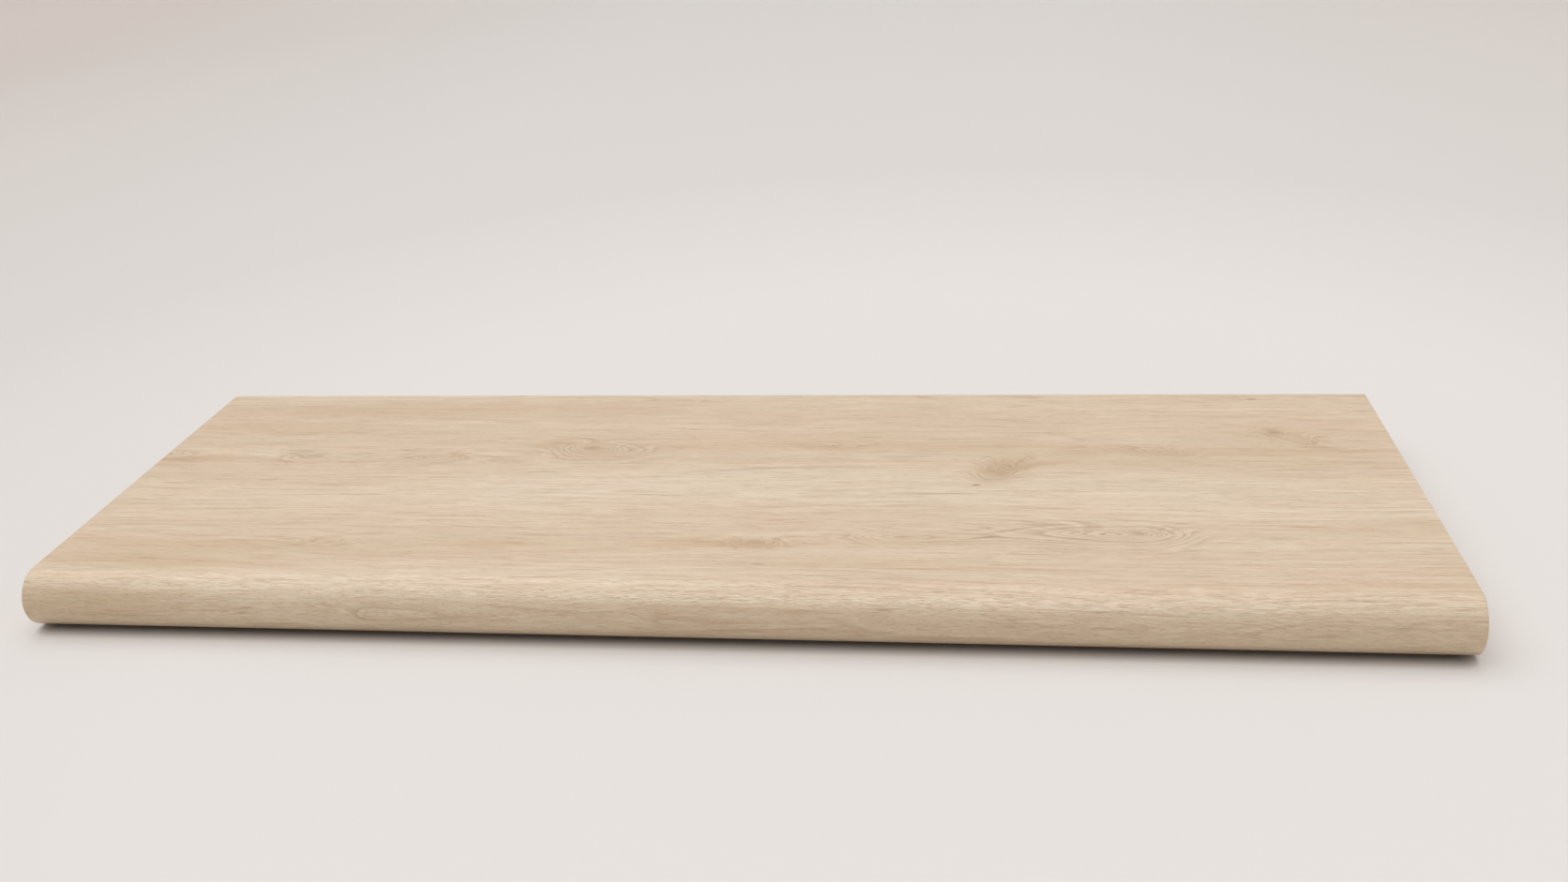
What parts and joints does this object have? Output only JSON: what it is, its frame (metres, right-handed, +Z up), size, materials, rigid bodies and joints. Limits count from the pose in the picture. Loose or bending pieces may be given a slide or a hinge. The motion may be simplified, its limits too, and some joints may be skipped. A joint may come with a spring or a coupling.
{
  "type": "stair tread",
  "caption": "Straight stair tread: a flat light-oak board with a full half-round nosing along its front edge, a square back edge and square-cut ends.",
  "frame": {"origin": "middle of the board's outline, on its underside", "axes": "+X along the nosing, towards the right end as seen by someone facing the nosing; +Y from the nosing to the back edge; +Z up, out of the walking face"},
  "size_m": [0.9, 0.3049, 0.04],
  "materials": {
    "light_oak": "satin"
  },
  "bodies": {
    "root": {"tread_board": "light_oak"}
  },
  "joints": []
}
